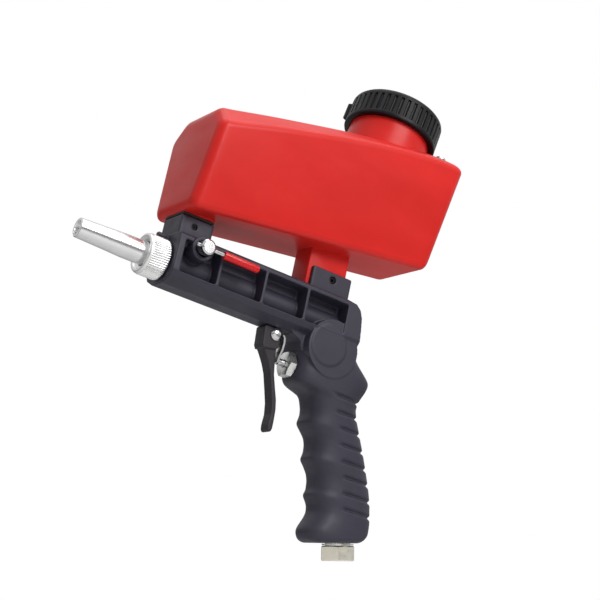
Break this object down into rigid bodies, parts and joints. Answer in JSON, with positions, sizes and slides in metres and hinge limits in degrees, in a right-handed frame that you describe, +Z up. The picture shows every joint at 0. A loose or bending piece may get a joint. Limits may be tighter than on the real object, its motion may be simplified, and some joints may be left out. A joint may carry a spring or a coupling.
{
  "type": "gravity-feed sandblasting gun",
  "caption": "Pistol-grip abrasive blasting gun with a top hopper, screw cap, sand valve lever, trigger air valve, nozzle nut and bottom air inlet.",
  "frame": {"origin": "centre of the hand grip", "axes": "+X towards the nozzle along the barrel, +Y to the gun's left, +Z up towards the hopper"},
  "size_m": [0.2281, 0.0622, 0.2904],
  "materials": {
    "body": "satin",
    "red": "semi-gloss",
    "black": "satin",
    "rubber": "matt",
    "steel": "polished",
    "alu": "satin",
    "brass": "plated",
    "vinyl": "gloss"
  },
  "bodies": {
    "frame": {"gun_body": "body", "air_jet": "brass", "jet_oring": "rubber", "nozzle_seal": "rubber", "hopper": "red", "outlet_gasket": "rubber", "hopper_front_screw": "steel", "hopper_rear_screw": "steel", "tether_button": "alu", "trigger_pin": "steel", "trigger_pin_clip": "steel", "valve_seat": "brass", "gland_nut": "alu", "gland_packing": "rubber", "valve_spring": "steel", "inlet_washer": "alu", "inlet_bushing": "brass", "inlet_filter": "brass"},
    "trigger": {"trigger": "body", "trigger_push_plate": "steel"},
    "air_valve": {"valve_stem": "steel", "valve_poppet": "rubber"},
    "sand_valve": {"sand_spindle": "steel", "spindle_oring": "rubber", "spindle_clip": "steel", "sand_lever_rod": "steel", "sand_lever_sleeve": "vinyl"},
    "cap_seal": {"cap_gasket": "rubber"},
    "cap": {"cap": "black"},
    "nozzle": {"nozzle": "steel"},
    "nozzle_nut": {"nozzle_nut": "alu"}
  },
  "joints": [
    {"name": "trigger_pull", "type": "hinge", "parent": "frame", "child": "trigger", "pos_m": [0.061, 0, 0.062], "axis": [0, 1, 0], "range_deg": [0, 14], "stiffness_Nm_per_rad": 0.4, "springref_deg": -5.73},
    {"name": "valve_stem_slide", "type": "slide", "parent": "frame", "child": "air_valve", "axis": [-1, 0, 0], "range_m": [0, 0.0032], "deforming": ["valve_spring"]},
    {"name": "sand_lever_turn", "type": "hinge", "parent": "frame", "child": "sand_valve", "pos_m": [0.1258, 0, 0.0896], "axis": [0, -1, 0], "range_deg": [0, 90]},
    {"name": "cap_lift", "type": "slide", "parent": "frame", "child": "cap_seal", "axis": [-0.184, 0, 0.9829], "range_m": [0, 0.0201]},
    {"name": "cap_turn", "type": "hinge", "parent": "cap_seal", "child": "cap", "pos_m": [0.0077, 0, 0.2112], "axis": [-0.184, 0, 0.9829], "range_deg": [0, 1440]},
    {"name": "nozzle_slide", "type": "slide", "parent": "frame", "child": "nozzle", "axis": [1, 0, 0], "range_m": [0, 0.0096]},
    {"name": "nozzle_nut_turn", "type": "hinge", "parent": "nozzle", "child": "nozzle_nut", "pos_m": [0.147, 0, 0.08], "axis": [1, 0, 0], "range_deg": [0, 2165]}
  ],
  "couplings": [
    {"joint": "valve_stem_slide", "follows": "trigger_pull", "m_per_rad": 0.0128},
    {"joint": "cap_lift", "follows": "cap_turn", "m_per_rad": 0.00079577},
    {"joint": "nozzle_nut_turn", "follows": "nozzle_slide", "rad_per_m": 3927}
  ]
}
